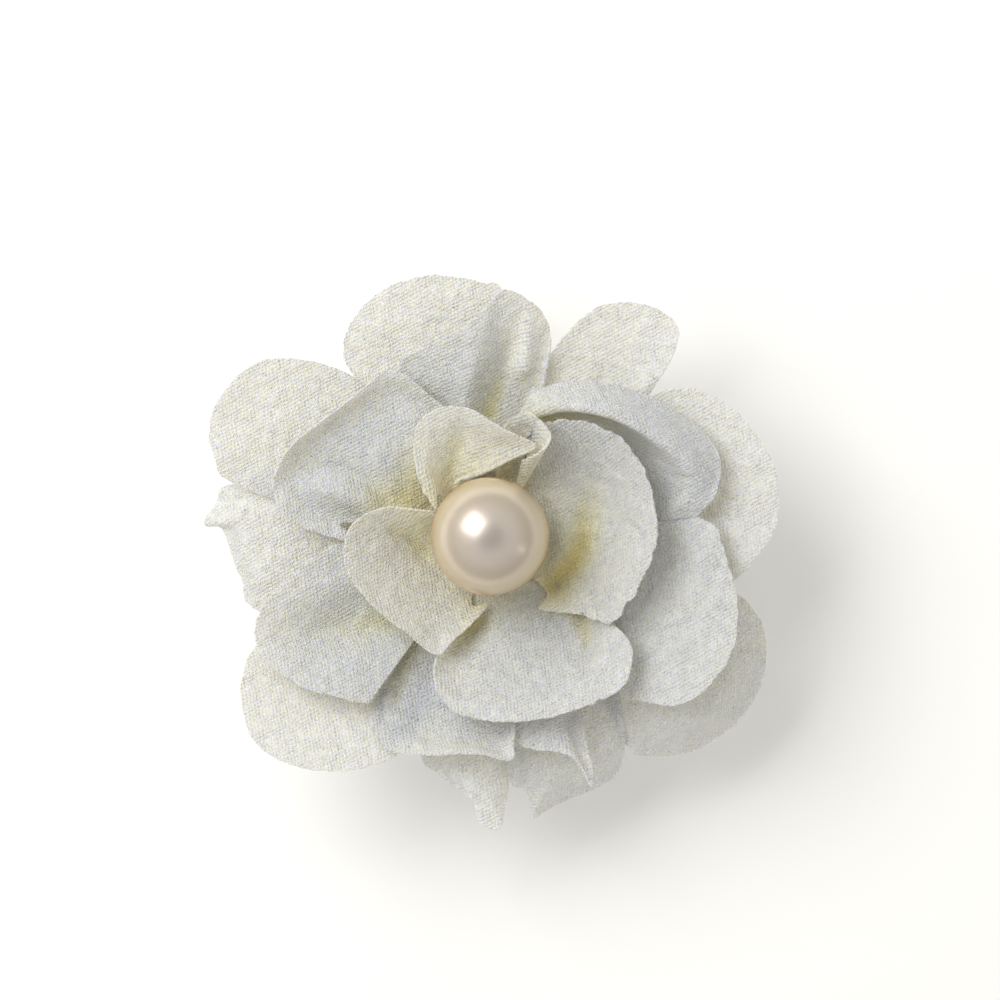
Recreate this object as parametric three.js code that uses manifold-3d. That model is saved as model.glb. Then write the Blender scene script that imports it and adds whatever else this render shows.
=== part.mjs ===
// Flower hair clip: a satin flower with a faux pearl, glued to a sprung alligator clip.
// Millimetres, +Z out of the flower's face. The origin is on the pearl's axis, on the flat
// back of the lower jaw. The clip lies along X: jaw tips at -X, finger tails at +X.

import * as THREE from "three";
import { mergeVertices } from "three/addons/utils/BufferGeometryUtils.js";
import Module from "manifold-3d";

const wasm = await Module();
wasm.setup();

// ---------------------------------------------------------------- driving dimensions

const GAP = 0.1; // between flat faces that are glued or pressed together
const CLEARANCE = 0.3; // between pieces that move, or that only lie near each other

// Pearl and its fixing
const PEARL_RADIUS = 7;
const PEARL_HOLE_RADIUS = 0.9;
const PEARL_HOLE_DEPTH = 5.5;
const PEG_RADIUS = 0.5;
const EYE_RADIUS = 0.9;
const EYE_WIRE_RADIUS = 0.3;
const THREAD_RADIUS = 0.25;
const THREAD_SPREAD = 0.75; // half the distance between the thread's two legs
const KNOT_RADIUS = 1.6;
const KNOT_HALF_HEIGHT = 0.65;

// Alligator clip, stamped from spring steel
const SHEET = 0.7;
const ARM_WIDTH = 8.6;
const JAW_WIDTH = ARM_WIDTH - 2 * SHEET - 2 * CLEARANCE;
const ARM_TIP_X = -21;
const ARM_END_X = 25;
const JAW_TIP_X = -20;
const JAW_FLAT_END_X = 3;
const SEAT_START_X = 7; // the jaw steps down here to make room for the spring
const SEAT_END_X = 13;
const SEAT_Z = -2.6;
const TAIL_END_Z = -7.4;
const PIVOT_X = 11;
const PIVOT_Z = 0.3;
const TOOTH_PITCH = 1.8;
const TOOTH_COUNT = 8;
const TOOTH_ROOT_Z = 0.9;
const TOOTH_TIP_Z = 2;
const PIN_RADIUS = 0.8;
const PIN_HOLE_RADIUS = 0.9;
const RIVET_RADIUS = 1.3;
const RIVET_THICKNESS = 0.5;

// Torsion spring on the pin
const WIRE_RADIUS = 0.3;
const COIL_RADIUS = 1.45;
const COIL_TURNS = 3.5;
const COIL_LENGTH = 3.2;
const LEG_LENGTH = 8.5;

// Felt backing and the two layers of glue
const FELT_RADIUS = 17;
const FELT_THICKNESS = 1.5;
const CLIP_GLUE_LENGTH = 30;
const CLIP_GLUE_WIDTH = 7;
const CLIP_GLUE_THICKNESS = 0.6;
const FLOWER_GLUE_OUTER = 8.5;
const FLOWER_GLUE_INNER = 3.2;
const FLOWER_GLUE_THICKNESS = 1.6;

// Petal layers: each is one piece of cloth cut with five lobes, and a hole for the stitch
const CLOTH = 0.6;
const LAYER_STEP = 1.1;
const CENTRE_HOLE_RADIUS = 1.7;
const NOTCH_DEPTH = 0.52; // how far in the notches between lobes reach, of the lobe's reach
const ANGLE_STEPS = 75;
const RADIUS_STEPS = 4;

// Heights that follow from them
const ARM_Z = TOOTH_TIP_Z + CLEARANCE;
const CLIP_GLUE_Z = ARM_Z + SHEET + GAP;
const FELT_Z = CLIP_GLUE_Z + CLIP_GLUE_THICKNESS + GAP;
const FLOWER_GLUE_Z = FELT_Z + FELT_THICKNESS + GAP;
const FLOWER_Z = FLOWER_GLUE_Z + FLOWER_GLUE_THICKNESS + GAP;
const KNOT_Z = FLOWER_GLUE_Z + FLOWER_GLUE_THICKNESS / 2;

// Each lobe's direction and half-width are in degrees from +X, and its reach is from the axis.
const LAYERS = [
  {
    name: "petal_layer_bottom",
    rise: 4,
    riseRadius: 33,
    power: 1.3,
    lobes: [
      { toward: 54, reach: 33.5, half: 38 },
      { toward: 107, reach: 31.7, half: 38 },
      { toward: 183, reach: 34.2, half: 36 },
      { toward: 266, reach: 34.6, half: 36 },
      { toward: 327, reach: 36, half: 38 },
    ],
  },
  {
    name: "petal_layer_lower",
    rise: 6,
    riseRadius: 31,
    power: 1.4,
    lobes: [
      { toward: 12, reach: 34.5, half: 40 },
      { toward: 90, reach: 29.3, half: 36 },
      { toward: 152, reach: 36, half: 38 },
      { toward: 224, reach: 34.5, half: 38 },
      { toward: 289, reach: 33.6, half: 34 },
    ],
  },
  {
    name: "petal_layer_middle",
    rise: 8.5,
    riseRadius: 26,
    power: 1.5,
    lobes: [
      { toward: 32, reach: 29, half: 42 },
      { toward: 156, reach: 26.5, half: 38 },
      { toward: 206, reach: 30.5, half: 34 },
      { toward: 260, reach: 27.5, half: 34 },
      { toward: 338, reach: 31.6, half: 38 },
    ],
  },
  {
    name: "petal_layer_inner",
    rise: 9.5,
    riseRadius: 18,
    power: 1.6,
    lobes: [
      { toward: 10, reach: 20, half: 46 },
      { toward: 64, reach: 15.6, half: 30 },
      { toward: 107, reach: 16, half: 36 },
      { toward: 195, reach: 17.4, half: 42 },
      { toward: 285, reach: 22.4, half: 46 },
    ],
  },
];

const INNER_LAYER_Z = FLOWER_Z + (LAYERS.length - 1) * LAYER_STEP;
const PEARL_Z = INNER_LAYER_Z + CLOTH + 2 * CLEARANCE + PEARL_RADIUS;
const EYE_Z = INNER_LAYER_Z - 0.8;

// ---------------------------------------------------------------- materials

function material(colour, roughness, metalness) {
  return new THREE.MeshStandardMaterial({ color: colour, roughness, metalness });
}

const pearlCoat = () => material("#efe9dc", 0.18, 0);
const satin = () => material("#e9e8df", 0.6, 0);
const thread = () => material("#efece0", 0.7, 0);
const felt = () => material("#e8e4d8", 0.95, 0);
const glue = () => material("#eadfc0", 0.35, 0);
const nickelPlate = () => material("#b9b9b6", 0.25, 1);
const springSteel = () => material("#9b9c9e", 0.3, 1);

// ---------------------------------------------------------------- helpers

const flower = new THREE.Group();

function add(name, geometry, finish) {
  const mesh = new THREE.Mesh(geometry, finish);
  mesh.name = name;
  flower.add(mesh);
  return mesh;
}

function toSolid(geometry) {
  const bare = geometry.index ? geometry.toNonIndexed() : geometry.clone();
  bare.deleteAttribute("normal");
  bare.deleteAttribute("uv");
  const merged = mergeVertices(bare, 1e-4);
  return new wasm.Manifold(
    new wasm.Mesh({
      numProp: 3,
      vertProperties: new Float32Array(merged.attributes.position.array),
      triVerts: new Uint32Array(merged.index.array),
    }),
  );
}

function toGeometry(solid) {
  const mesh = solid.getMesh();
  const geometry = new THREE.BufferGeometry();
  geometry.setAttribute("position", new THREE.BufferAttribute(mesh.vertProperties, 3));
  geometry.setIndex(new THREE.BufferAttribute(mesh.triVerts, 1));
  return geometry;
}

function joined(...geometries) {
  return toGeometry(geometries.map(toSolid).reduce((sum, solid) => sum.add(solid)));
}

// A side profile, drawn in X and Z, made into a solid that spans y from low to high.
function profileAcross(shape, low, high) {
  const geometry = new THREE.ExtrudeGeometry(shape, {
    depth: high - low,
    bevelEnabled: false,
    curveSegments: 10,
  });
  geometry.rotateX(Math.PI / 2);
  geometry.translate(0, high, 0);
  return geometry;
}

// A plan outline, drawn in X and Y, made into a plate that spans z from low to high.
function plate(shape, low, high) {
  const geometry = new THREE.ExtrudeGeometry(shape, {
    depth: high - low,
    bevelEnabled: false,
    curveSegments: 10,
  });
  geometry.translate(0, 0, low);
  return geometry;
}

function outline(points) {
  return new THREE.Shape(points.map(([x, y]) => new THREE.Vector2(x, y)));
}

// A straight-sided strip along X with half-round ends of the given widths.
function roundedStrip(startX, startWidth, endX, endWidth) {
  const shape = new THREE.Shape();
  const startRadius = startWidth / 2;
  const endRadius = endWidth / 2;
  shape.absarc(startX + startRadius, 0, startRadius, Math.PI / 2, (3 * Math.PI) / 2);
  shape.absarc(endX - endRadius, 0, endRadius, -Math.PI / 2, Math.PI / 2);
  return shape;
}

// The outline of a bent sheet: a line of bend points, and the same line offset upwards.
function bentSheet(points, thickness) {
  const line = points.map(([x, z]) => new THREE.Vector2(x, z));
  const normals = line.slice(1).map((end, i) => {
    const along = end.clone().sub(line[i]).normalize();
    return new THREE.Vector2(-along.y, along.x);
  });
  const upper = line.map((point, i) => {
    const before = normals[Math.max(i - 1, 0)];
    const after = normals[Math.min(i, normals.length - 1)];
    const mitre = before.clone().add(after).normalize();
    return point.clone().addScaledVector(mitre, thickness / mitre.dot(after));
  });
  return new THREE.Shape([...line, ...upper.reverse()]);
}

function pinHole() {
  const hole = new THREE.CylinderGeometry(PIN_HOLE_RADIUS, PIN_HOLE_RADIUS, 2 * ARM_WIDTH, 24);
  hole.translate(PIVOT_X, 0, PIVOT_Z);
  return toSolid(hole);
}

// An ear is a tab folded from the sheet's edge, round about the pin.
function earProfile(footZ, halfFoot, roundRadius) {
  const up = footZ < PIVOT_Z;
  const shape = new THREE.Shape();
  shape.moveTo(PIVOT_X - halfFoot, footZ);
  if (up) {
    shape.lineTo(PIVOT_X + halfFoot, footZ);
    shape.absarc(PIVOT_X, PIVOT_Z, roundRadius, 0, Math.PI);
  } else {
    shape.absarc(PIVOT_X, PIVOT_Z, roundRadius, Math.PI, 2 * Math.PI);
    shape.lineTo(PIVOT_X + halfFoot, footZ);
  }
  return shape;
}

function sweptWire(points, radius, sides, steps) {
  const section = new THREE.Shape();
  for (let i = 0; i < sides; i += 1) {
    const angle = (2 * Math.PI * i) / sides;
    const x = radius * Math.cos(angle);
    const y = radius * Math.sin(angle);
    if (i === 0) section.moveTo(x, y);
    else section.lineTo(x, y);
  }
  const path = new THREE.CatmullRomCurve3(points, false, "centripetal");
  return new THREE.ExtrudeGeometry(section, { steps, extrudePath: path, bevelEnabled: false });
}

// ---------------------------------------------------------------- petal layers

// How far the cut edge is from the axis, in the direction given in degrees.
function edgeRadius(lobes, degrees) {
  return Math.max(
    ...lobes.map(({ toward, reach, half }) => {
      const turn = Math.abs(((degrees - toward + 540) % 360) - 180) / half;
      const dome = Math.sqrt(Math.max(0, 1 - turn ** 2.4));
      return reach * (NOTCH_DEPTH + (1 - NOTCH_DEPTH) * dome);
    }),
  );
}

// A flat ring of cloth, turned on the lathe, then pushed out to its lobes and cupped upwards.
function petalLayer(layer, z) {
  const lower = [];
  const upper = [];
  for (let i = 0; i <= RADIUS_STEPS; i += 1) {
    lower.push(new THREE.Vector2(1 + i, 0));
    upper.unshift(new THREE.Vector2(1 + i, 1));
  }
  const ring = new THREE.LatheGeometry([...lower, ...upper, lower[0]], ANGLE_STEPS);
  ring.rotateX(Math.PI / 2);
  const position = ring.attributes.position;
  for (let i = 0; i < position.count; i += 1) {
    const x = position.getX(i);
    const y = position.getY(i);
    const part = (Math.hypot(x, y) - 1) / RADIUS_STEPS;
    const angle = Math.atan2(y, x);
    const edge = edgeRadius(layer.lobes, THREE.MathUtils.radToDeg(angle));
    const radius = CENTRE_HOLE_RADIUS + part * (edge - CENTRE_HOLE_RADIUS);
    const height = layer.rise * (radius / layer.riseRadius) ** layer.power;
    const side = position.getZ(i) * CLOTH;
    position.setXYZ(i, radius * Math.cos(angle), radius * Math.sin(angle), z + height + side);
  }
  return toGeometry(toSolid(ring));
}

LAYERS.forEach((layer, i) => {
  add(layer.name, petalLayer(layer, FLOWER_Z + i * LAYER_STEP), satin());
});

// ---------------------------------------------------------------- pearl, shank and stitch

// A ball with a blind hole drilled into it from below.
function pearlBead() {
  const profile = [new THREE.Vector2(0, PEARL_Z - PEARL_RADIUS + PEARL_HOLE_DEPTH)];
  profile.push(new THREE.Vector2(PEARL_HOLE_RADIUS, profile[0].y));
  const start = Math.asin(PEARL_HOLE_RADIUS / PEARL_RADIUS);
  const steps = 20;
  for (let i = 0; i <= steps; i += 1) {
    const angle = start + ((Math.PI - start) * i) / steps;
    const radius = i === steps ? 0 : PEARL_RADIUS * Math.sin(angle);
    profile.push(new THREE.Vector2(radius, PEARL_Z - PEARL_RADIUS * Math.cos(angle)));
  }
  const bead = new THREE.LatheGeometry(profile, 32);
  bead.rotateX(Math.PI / 2);
  return bead;
}

// An eye peg: the peg goes into the pearl, and the eye hangs in the flower's centre hole.
function pearlShank() {
  const eye = new THREE.TorusGeometry(EYE_RADIUS, EYE_WIRE_RADIUS, 8, 20);
  eye.rotateX(Math.PI / 2);
  eye.translate(0, 0, EYE_Z);
  const bottom = EYE_Z + EYE_RADIUS;
  const top = PEARL_Z - PEARL_RADIUS + PEARL_HOLE_DEPTH - CLEARANCE;
  const peg = new THREE.CylinderGeometry(PEG_RADIUS, PEG_RADIUS, top - bottom, 12);
  peg.rotateX(Math.PI / 2);
  peg.translate(0, 0, (top + bottom) / 2);
  return joined(eye, peg);
}

// The thread goes up through the eye and back down, and is knotted behind the petals.
function sewingThread() {
  const crest = EYE_Z - EYE_RADIUS + EYE_WIRE_RADIUS + THREAD_RADIUS + GAP;
  const loop = [
    new THREE.Vector3(0, -THREAD_SPREAD, KNOT_Z),
    new THREE.Vector3(0, -THREAD_SPREAD, (KNOT_Z + crest) / 2),
    new THREE.Vector3(0, -THREAD_SPREAD, crest - THREAD_SPREAD),
    new THREE.Vector3(0, 0, crest),
    new THREE.Vector3(0, THREAD_SPREAD, crest - THREAD_SPREAD),
    new THREE.Vector3(0, THREAD_SPREAD, (KNOT_Z + crest) / 2),
    new THREE.Vector3(0, THREAD_SPREAD, KNOT_Z),
  ];
  const knot = new THREE.SphereGeometry(1, 16, 8);
  knot.rotateX(Math.PI / 2);
  knot.scale(KNOT_RADIUS, KNOT_RADIUS, KNOT_HALF_HEIGHT);
  knot.translate(0, 0, KNOT_Z);
  return joined(sweptWire(loop, THREAD_RADIUS, 8, 24), knot);
}

add("pearl_bead", pearlBead(), pearlCoat());
add("pearl_shank", pearlShank(), nickelPlate());
add("sewing_thread", sewingThread(), thread());

// ---------------------------------------------------------------- backing and glue

function ringBetween(inner, outer, low, high, sides) {
  const profile = [
    new THREE.Vector2(inner, low),
    new THREE.Vector2(outer, low),
    new THREE.Vector2(outer, high),
    new THREE.Vector2(inner, high),
    new THREE.Vector2(inner, low),
  ];
  const ring = new THREE.LatheGeometry(profile, sides);
  ring.rotateX(Math.PI / 2);
  return ring;
}

const feltDisc = new THREE.CylinderGeometry(FELT_RADIUS, FELT_RADIUS, FELT_THICKNESS, 48);
feltDisc.rotateX(Math.PI / 2);
feltDisc.translate(0, 0, FELT_Z + FELT_THICKNESS / 2);
add("felt_disc", feltDisc, felt());

const flowerGlueTop = FLOWER_GLUE_Z + FLOWER_GLUE_THICKNESS;
add(
  "flower_glue",
  ringBetween(FLOWER_GLUE_INNER, FLOWER_GLUE_OUTER, FLOWER_GLUE_Z, flowerGlueTop, 32),
  glue(),
);

const halfGlue = CLIP_GLUE_LENGTH / 2;
const clipGlueOutline = roundedStrip(-halfGlue, CLIP_GLUE_WIDTH, halfGlue, CLIP_GLUE_WIDTH);
add("clip_glue", plate(clipGlueOutline, CLIP_GLUE_Z, CLIP_GLUE_Z + CLIP_GLUE_THICKNESS), glue());

// ---------------------------------------------------------------- the clip

const halfArm = ARM_WIDTH / 2;
const halfJaw = JAW_WIDTH / 2;
const SIDES = [-1, 1];

// A folded tab on each side: y runs inwards from the sheet's edge by its thickness.
function onBothSides(shape, outerY) {
  return SIDES.map((side) => {
    const edges = [side * outerY, side * (outerY - SHEET)];
    return profileAcross(shape, Math.min(...edges), Math.max(...edges));
  });
}

// Upper arm: a flat strip with two ears folded down around the pin.
function upperArm() {
  const strip = plate(
    roundedStrip(ARM_TIP_X, ARM_WIDTH, ARM_END_X, ARM_WIDTH),
    ARM_Z,
    ARM_Z + SHEET,
  );
  const ears = onBothSides(earProfile(ARM_Z + SHEET / 2, 2.6, 1.9), halfArm);
  return toGeometry(toSolid(joined(strip, ...ears)).subtract(pinHole()));
}

// Lower jaw: flat where it grips, stepped down under the spring, then a finger tail.
function lowerJaw() {
  const bends = [
    [JAW_TIP_X, 0],
    [JAW_FLAT_END_X, 0],
    [SEAT_START_X, SEAT_Z],
    [SEAT_END_X, SEAT_Z],
    [ARM_END_X, TAIL_END_Z],
  ];
  const sheet = toSolid(profileAcross(bentSheet(bends, SHEET), -halfArm, halfArm));
  const plan = joined(
    plate(roundedStrip(JAW_TIP_X, JAW_WIDTH, SEAT_END_X + halfJaw, JAW_WIDTH), -20, 20),
    plate(roundedStrip(SEAT_END_X + CLEARANCE, ARM_WIDTH, ARM_END_X, ARM_WIDTH), -20, 20),
  );
  const ears = onBothSides(earProfile(SEAT_Z + SHEET / 2, 2.2, 1.6), halfJaw);
  const teeth = onBothSides(toothProfile(), halfJaw);
  const strip = toGeometry(sheet.intersect(toSolid(plan)));
  return toGeometry(toSolid(joined(strip, ...ears, ...teeth)).subtract(pinHole()));
}

// The jaw's edges fold up into a row of pointed teeth.
function toothProfile() {
  const start = JAW_TIP_X + halfJaw;
  const end = start + TOOTH_COUNT * TOOTH_PITCH;
  const points = [
    [start, SHEET / 2],
    [end, SHEET / 2],
    [end, TOOTH_ROOT_Z],
  ];
  for (let i = TOOTH_COUNT - 1; i >= 0; i -= 1) {
    points.push([start + (i + 0.5) * TOOTH_PITCH, TOOTH_TIP_Z]);
    points.push([start + i * TOOTH_PITCH, TOOTH_ROOT_Z]);
  }
  return outline(points);
}

// Hinge pin: a wire with a rivet head formed on each end.
function hingePin() {
  const shoulder = halfArm + GAP;
  const end = shoulder + RIVET_THICKNESS;
  const pin = new THREE.LatheGeometry(
    [
      new THREE.Vector2(0, -end),
      new THREE.Vector2(RIVET_RADIUS, -end),
      new THREE.Vector2(RIVET_RADIUS, -shoulder),
      new THREE.Vector2(PIN_RADIUS, -shoulder),
      new THREE.Vector2(PIN_RADIUS, shoulder),
      new THREE.Vector2(RIVET_RADIUS, shoulder),
      new THREE.Vector2(RIVET_RADIUS, end),
      new THREE.Vector2(0, end),
    ],
    24,
  );
  pin.translate(PIVOT_X, 0, PIVOT_Z);
  return pin;
}

// Torsion spring: one leg under the upper arm, the coil on the pin, one leg on the tail.
function hingeSpring() {
  const at = (x, y, z) => new THREE.Vector3(PIVOT_X + x, y, PIVOT_Z + z);
  const tailSlope = (TAIL_END_Z - SEAT_Z) / (ARM_END_X - SEAT_END_X);
  const onTail = (x) => {
    const surface = SEAT_Z + SHEET - PIVOT_Z + tailSlope * (PIVOT_X + x - SEAT_END_X);
    return surface + WIRE_RADIUS + 2 * GAP;
  };
  const half = COIL_LENGTH / 2;
  const points = [at(LEG_LENGTH, -half, COIL_RADIUS), at(LEG_LENGTH / 2, -half, COIL_RADIUS)];
  const pointsPerTurn = 12;
  const count = COIL_TURNS * pointsPerTurn;
  for (let i = 0; i <= count; i += 1) {
    const angle = Math.PI / 2 + (2 * Math.PI * i) / pointsPerTurn;
    const y = -half + (COIL_LENGTH * i) / count;
    points.push(at(COIL_RADIUS * Math.cos(angle), y, COIL_RADIUS * Math.sin(angle)));
  }
  points.push(at(3.2, half, onTail(3.2)), at(LEG_LENGTH, half, onTail(LEG_LENGTH)));
  return sweptWire(points, WIRE_RADIUS, 6, 130);
}

add("clip_upper_arm", upperArm(), nickelPlate());
add("clip_lower_jaw", lowerJaw(), nickelPlate());
add("hinge_pin", hingePin(), nickelPlate());
add("hinge_spring", hingeSpring(), springSteel());

export default flower;
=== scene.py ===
# %% [markdown]
# # A satin flower on a hair clip
# The flower is four layers of cloth, each cut with five lobes and heat-set into cups and curls, with a
# pearl bead stitched in the middle. Behind it are a felt disc and a sprung clip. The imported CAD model
# gives every piece its place. This lesson makes the cloth, the pearl's lacquer and the metal round it.

# %% The frame
import math

import bpy
import numpy as np
from mathutils.bvhtree import BVHTree
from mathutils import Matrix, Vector, noise


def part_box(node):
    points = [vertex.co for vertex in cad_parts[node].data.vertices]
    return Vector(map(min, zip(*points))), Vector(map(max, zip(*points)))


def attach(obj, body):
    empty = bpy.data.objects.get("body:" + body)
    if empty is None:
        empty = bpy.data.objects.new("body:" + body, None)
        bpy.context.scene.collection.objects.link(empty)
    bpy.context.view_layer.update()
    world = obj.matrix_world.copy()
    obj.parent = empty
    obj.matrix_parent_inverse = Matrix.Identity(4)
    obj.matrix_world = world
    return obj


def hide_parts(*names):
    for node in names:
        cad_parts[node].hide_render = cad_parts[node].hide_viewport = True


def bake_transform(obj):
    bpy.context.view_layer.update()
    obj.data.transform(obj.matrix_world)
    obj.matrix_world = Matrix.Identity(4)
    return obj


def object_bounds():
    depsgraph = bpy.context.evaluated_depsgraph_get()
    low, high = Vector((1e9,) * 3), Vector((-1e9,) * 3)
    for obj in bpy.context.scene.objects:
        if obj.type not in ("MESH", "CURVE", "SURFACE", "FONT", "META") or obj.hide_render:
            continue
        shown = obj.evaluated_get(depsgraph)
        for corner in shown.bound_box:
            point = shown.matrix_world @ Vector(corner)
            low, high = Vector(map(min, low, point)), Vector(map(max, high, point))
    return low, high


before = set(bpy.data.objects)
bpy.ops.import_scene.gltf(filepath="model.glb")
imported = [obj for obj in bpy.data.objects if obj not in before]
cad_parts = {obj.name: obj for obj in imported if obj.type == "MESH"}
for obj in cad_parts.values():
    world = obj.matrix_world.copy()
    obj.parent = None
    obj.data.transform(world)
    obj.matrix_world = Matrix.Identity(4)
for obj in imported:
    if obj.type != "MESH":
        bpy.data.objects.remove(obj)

CAD_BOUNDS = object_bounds()
MM = 0.001  # every size below is in millimetres, times this
FLOWER = "flower"
JAW = "lower_jaw"
print("CAD box in mm:", [[round(c / MM, 1) for c in corner] for corner in CAD_BOUNDS])

# %% [markdown]
# ## Small helpers
# Colours are picked as sRGB hex values, and shaders want linear numbers, so one function converts them.
# A material is a small graph of nodes, so another function adds a node with its settings and links.
# An operator acts on all that is selected, so two more set what is selected first.

# %% Helpers
scene = bpy.context.scene


def linear(hex_colour):
    """A colour such as '#E9E4D0' as linear RGBA."""
    parts = [int(hex_colour[i:i + 2], 16) / 255 for i in (1, 3, 5)]
    return tuple(c / 12.92 if c <= 0.04045 else ((c + 0.055) / 1.055) ** 2.4 for c in parts) + (1.0,)


def add_node(material, kind, settings=None, **inputs):
    """Adds one node. An input is a value or an output socket, under its name, with _ for each space."""
    tree = material.node_tree
    node = tree.nodes.new("ShaderNode" + kind)
    for name, value in (settings or {}).items():
        setattr(node, name, value)
    for name, value in inputs.items():
        wanted = name.replace("_", " ")
        socket = next(s for s in node.inputs if s.enabled and (s.name == wanted or s.identifier == name))
        if isinstance(value, bpy.types.NodeSocket):
            tree.links.new(value, socket)
        else:
            socket.default_value = value
    return node


def new_material(name):
    """A material whose graph is still empty."""
    material = bpy.data.materials.new(name)
    material.use_nodes = True
    material.node_tree.nodes.clear()
    return material


def deselect_all():
    for item in bpy.context.selected_objects:
        item.select_set(False)


def select_only(piece):
    deselect_all()
    piece.select_set(True)
    bpy.context.view_layer.objects.active = piece


def centre_of(node):
    low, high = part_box(node)
    return (Vector(low) + Vector(high)) / 2


# %% [markdown]
# ## Camera, light and floor
# The flower is seen from straight above, through a long lens so that near petals look hardly larger
# than far ones. A softbox at the upper left makes the pearl's bright spot and the petals' shading. A
# low strip at the right makes a second, faint spot. A pale sky fills the shadows.

# %% Camera and light
PETALS_Z = 15 * MM  # the middle of the petals' height
FRAME_WIDTH = 118.6 * MM
SENSOR_WIDTH = 36  # the sensor and the lens are in millimetres, as on a camera
LENS = 200
NEAREST_SEEN = 0.01
FRAME_CENTRE = Vector((1.2, 4.3, 0)) * MM
distance = FRAME_WIDTH * LENS / SENSOR_WIDTH

camera_data = bpy.data.cameras.new("camera")
camera_data.lens = LENS
camera_data.sensor_width = SENSOR_WIDTH
camera_data.clip_start = NEAREST_SEEN
camera = bpy.data.objects.new("camera", camera_data)
camera.location = (FRAME_CENTRE.x, FRAME_CENTRE.y, PETALS_Z + distance)
scene.collection.objects.link(camera)
scene.camera = camera
scene.view_settings.view_transform = "Standard"
scene.view_settings.look = "None"
print("camera", round(distance, 3), "m from the petals")


def area_light(name, azimuth, elevation, reach, width, height, watts, colour):
    """A softbox that looks at the flower from the given direction, in degrees."""
    data = bpy.data.lights.new(name, "AREA")
    data.shape = "RECTANGLE"
    data.size = width
    data.size_y = height
    data.energy = watts
    data.color = linear(colour)[:3]
    light = bpy.data.objects.new(name, data)
    around, up = math.radians(azimuth), math.radians(elevation)
    toward = Vector((math.cos(around) * math.cos(up), math.sin(around) * math.cos(up), math.sin(up)))
    light.location = toward * reach + Vector((0, 0, PETALS_Z))
    light.rotation_euler = toward.to_track_quat("Z", "Y").to_euler()
    scene.collection.objects.link(light)
    print(name, round(reach, 2), "m away")


area_light("key_softbox", 142, 50, 0.62, 0.40, 0.42, 2.55, "#FFFEFB")
area_light("side_strip", -22, 20, 0.55, 0.08, 0.14, 0.05, "#FFFFFF")

# The sky is a white tent with a dark opening overhead, where the camera looks in.
SKY_STRENGTH = 0.72
SKY_SHADES = ((0.02, "#A8A298"), (0.6, "#FFFDF6"), (0.84, "#FFFEFA"), (0.96, "#857E7D"))
world = bpy.data.worlds.new("white_tent")
world.use_nodes = True
world.node_tree.nodes.clear()
direction = add_node(world, "TexCoord").outputs["Generated"]
upward = add_node(world, "SeparateXYZ", Vector=direction).outputs["Z"]
tent = add_node(world, "ValToRGB", Fac=upward)
for position, shade in SKY_SHADES:
    tent.color_ramp.elements.new(position).color = linear(shade)
tent.color_ramp.elements.remove(tent.color_ramp.elements[0])
tent.color_ramp.elements.remove(tent.color_ramp.elements[-1])
sky = add_node(world, "Background", Color=tent.outputs["Color"], Strength=SKY_STRENGTH)
add_node(world, "OutputWorld", Surface=sky.outputs["Background"])
scene.world = world

# %% [markdown]
# The flower lies on matt white card. The card gives off a little light of its own, like a lit studio
# sweep, so that it stays nearly white beside the soft shadow.

# %% Floor
FLOOR_SIZE = 3.0
FLOOR_GLOW = 0.12
floor_z = CAD_BOUNDS[0][2]
deselect_all()
bpy.ops.mesh.primitive_plane_add(size=FLOOR_SIZE, location=(0, 0, floor_z))
floor = bpy.context.object
floor.name = "floor"
white_card = new_material("white_card")
surface = add_node(white_card, "BsdfPrincipled", Base_Color=linear("#FBFBFB"), Roughness=0.9,
                   Emission_Color=linear("#FFFFFF"), Emission_Strength=FLOOR_GLOW)
add_node(white_card, "OutputMaterial", Surface=surface.outputs["BSDF"])
floor.data.materials.append(white_card)
print("floor at", round(floor_z / MM, 2), "mm")

# %% [markdown]
# ## Crepe-back satin
# The petals are ivory polyester satin, used with its crepe side out. Twisted threads about 0.4 mm
# apart make short bright dashes, and the cloth puckers a little between them. Light shines through it,
# so folds that hide from the lamp glow yellow. A painted glow adds to that: the attribute "depth"
# paints the cloth's colour warmer towards the middle, in grooves and along painted glow lines, where
# light bounced between the layers would warm it. The pattern follows each petal's own flat
# coordinates, stored in the attribute "cloth".

# %% Satin
THREAD_PITCH = 0.41 * MM
THREAD_SLANTS = (-8, 62)  # degrees; pressing leaves the two sets of threads askew
WAVE_BAND = math.pi / 10  # how wide one band of Blender's wave texture is at a scale of 1
TWIST_PATCH = THREAD_PITCH / 0.3
PUCKER = 1.0 * MM
CRUMPLE = 3.0 * MM
FLOAT_HEIGHT = 0.2 * MM
PUCKER_HEIGHT = 0.36 * MM
CRUMPLE_HEIGHT = 0.5 * MM
LIGHT_REACH = (1.2 * MM, 1.05 * MM, 0.7 * MM)  # how far red, green and blue light wander in the cloth


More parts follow.
